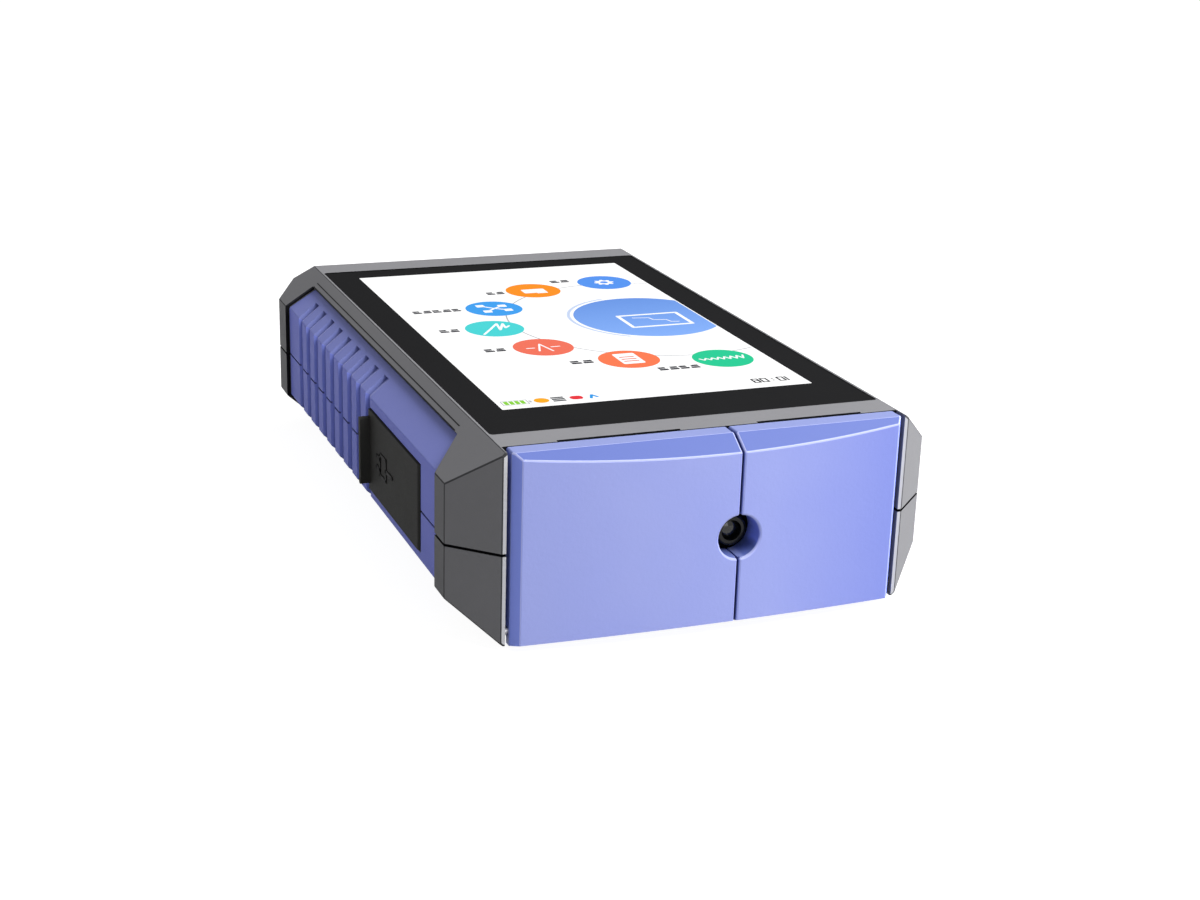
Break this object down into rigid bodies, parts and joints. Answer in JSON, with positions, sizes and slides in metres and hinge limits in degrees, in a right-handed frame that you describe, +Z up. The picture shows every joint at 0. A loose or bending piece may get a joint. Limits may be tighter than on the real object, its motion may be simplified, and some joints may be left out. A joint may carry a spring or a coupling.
{
  "type": "optical time domain reflectometer",
  "caption": "Handheld fibre tester with a faceted casing, touch screen, ribbed side grips and hinged covers over its end ports.",
  "frame": {"origin": "middle of the part's bounding box at the ground under its feet", "axes": "+Z up out of the screen, +Y along the length away from the port covers, +X to the right seen from the port end"},
  "size_m": [0.099, 0.1582, 0.038],
  "materials": {
    "casing_grey": "fine-textured dark grey moulded plastic",
    "grip_blue": "soft-touch violet-blue over-moulding",
    "cover_blue": "fine-textured violet-blue moulded plastic",
    "screen_glass": "black-bordered touch glass",
    "display_metal": "pressed steel back",
    "panel_black": "matt black",
    "jack_plastic": "black moulded plastic",
    "black_metal": "black coated",
    "clear_lens": "clear domed lens",
    "led_body": "clear epoxy",
    "steel": "plain",
    "flap_rubber": "matt black rubber",
    "button_rubber": "matt dark rubber",
    "board_green": "green solder mask",
    "engine_aluminium": "bead blasted",
    "spool_plastic": "natural nylon",
    "battery_wrap": "blue shrink wrap",
    "foot_rubber": "matt black rubber",
    "port_metal": "nickel plated"
  },
  "bodies": {
    "casing": {"upper_shell": "casing_grey", "lower_shell": "casing_grey", "left_upper_grip": "grip_blue", "left_lower_grip": "grip_blue", "right_upper_grip": "grip_blue", "right_lower_grip": "grip_blue", "touch_glass": "screen_glass", "display_module": "display_metal", "port_panel": "panel_black", "network_jack": "jack_plastic", "torch_bezel": "black_metal", "torch_lens": "clear_lens", "torch_led": "led_body", "cover_hinge_pin": "steel", "data_flap_pin": "steel", "wide_data_socket": "steel", "small_data_socket": "steel", "power_switch": "panel_black", "switch_board": "board_green", "main_board": "board_green", "optical_engine": "engine_aluminium", "fibre_spool": "spool_plastic", "shield_can": "steel", "battery_pack": "battery_wrap", "shell_screws": "black_metal", "board_screws": "steel", "rubber_feet": "foot_rubber", "stand_pins": "steel", "otdr_port": "port_metal", "power_meter_port": "port_metal", "fault_locator_port": "port_metal"},
    "wide_cover": {"wide_port_cover": "cover_blue"},
    "narrow_cover": {"narrow_port_cover": "cover_blue"},
    "flap": {"data_flap": "flap_rubber"},
    "button": {"power_button": "button_rubber"},
    "stand": {"stand": "casing_grey"}
  },
  "joints": [
    {"name": "wide_cover_hinge", "type": "hinge", "parent": "casing", "child": "wide_cover", "pos_m": [-0.0162, -0.07285, 0.0035], "axis": [1, 0, 0], "range_deg": [0, 100]},
    {"name": "narrow_cover_hinge", "type": "hinge", "parent": "casing", "child": "narrow_cover", "pos_m": [0.0218, -0.07285, 0.0035], "axis": [1, 0, 0], "range_deg": [0, 100]},
    {"name": "flap_hinge", "type": "hinge", "parent": "casing", "child": "flap", "pos_m": [-0.0464, -0.04745, 0.0192], "axis": [0, 0, 1], "range_deg": [0, 100]},
    {"name": "button_press", "type": "slide", "parent": "casing", "child": "button", "axis": [-1, 0, 0], "range_m": [0, 0.0008], "stiffness_N_per_m": 800, "springref_m": -0.0005},
    {"name": "stand_hinge", "type": "hinge", "parent": "casing", "child": "stand", "pos_m": [0.0008, -0.01265, 0.0025], "axis": [-1, 0, 0], "range_deg": [0, 60]}
  ]
}
